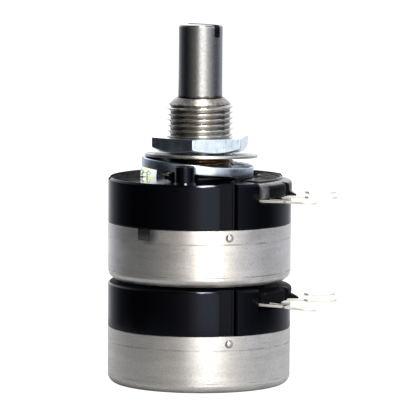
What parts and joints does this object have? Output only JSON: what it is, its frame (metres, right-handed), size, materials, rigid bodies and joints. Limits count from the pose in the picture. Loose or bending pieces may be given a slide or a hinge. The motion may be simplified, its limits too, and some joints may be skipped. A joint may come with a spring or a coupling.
{
  "type": "dual-gang rotary potentiometer",
  "caption": "Panel-mount rotary potentiometer: stacked resistance sections in round black cases with metal cans, a slotted shaft, threaded bush, nut, washers and solder lugs.",
  "frame": {"origin": "centre of the flat back of the rear can, on the shaft's axis", "axes": "+Z along the shaft, out of the panel towards the user; +X to the side where the solder lugs stand out; +Y completes a right-handed set, so the locating peg is on the -Y side"},
  "size_m": [0.0312, 0.0251, 0.049],
  "materials": {
    "black_phenolic": "glossy black moulded phenolic",
    "block_phenolic": "matte grey-black moulded phenolic with a rough skin",
    "rotor_phenolic": "brown moulded phenolic",
    "nickel_can": "satin nickel plate on drawn steel",
    "nickel_bush": "nickel plate on turned brass",
    "steel_shaft": "fine turned, satin",
    "zinc_plate": "bright zinc plate, slightly blue",
    "tinned_brass": "tinned",
    "brass": "plain stamped brass",
    "spring_bronze": "phosphor bronze strip",
    "resistance_wire": "fine resistance wire, close wound",
    "card": "insulating card",
    "fibre": "pressed fibre"
  },
  "bodies": {
    "housing": {"front_can": "nickel_can", "front_case": "black_phenolic", "front_terminal_block": "block_phenolic", "front_terminal_ccw": "tinned_brass", "front_terminal_wiper": "tinned_brass", "front_terminal_cw": "tinned_brass", "front_winding_card": "card", "front_winding": "resistance_wire", "front_end_clip_cw": "brass", "front_end_clip_ccw": "brass", "front_collector_ring": "brass", "rear_can": "nickel_can", "rear_case": "black_phenolic", "rear_terminal_block": "block_phenolic", "rear_terminal_ccw": "tinned_brass", "rear_terminal_wiper": "tinned_brass", "rear_terminal_cw": "tinned_brass", "rear_winding_card": "card", "rear_winding": "resistance_wire", "rear_end_clip_cw": "brass", "rear_end_clip_ccw": "brass", "rear_collector_ring": "brass", "bushing": "nickel_bush", "gang_bearing": "brass", "gang_insulator": "fibre", "locating_washer": "zinc_plate"},
    "control_shaft": {"shaft": "steel_shaft", "retaining_ring": "zinc_plate", "front_rotor": "rotor_phenolic", "front_wiper": "spring_bronze", "front_collector_brush": "spring_bronze", "rear_rotor": "rotor_phenolic", "rear_wiper": "spring_bronze", "rear_collector_brush": "spring_bronze"},
    "loose_washer": {"flat_washer": "zinc_plate"},
    "nut": {"mounting_nut": "zinc_plate"}
  },
  "joints": [
    {"name": "shaft_turn", "type": "hinge", "parent": "housing", "child": "control_shaft", "pos_m": [0, 0, 0], "axis": [0, 0, 1], "range_deg": [-150, 150]},
    {"name": "nut_travel", "type": "slide", "parent": "housing", "child": "loose_washer", "axis": [0, 0, 1], "range_m": [0, 0.00525]},
    {"name": "nut_turn", "type": "hinge", "parent": "loose_washer", "child": "nut", "pos_m": [0, 0, 0], "axis": [0, 0, 1], "range_deg": [0, 2521]}
  ],
  "couplings": [
    {"joint": "nut_turn", "follows": "nut_travel", "rad_per_m": 8377.6}
  ]
}
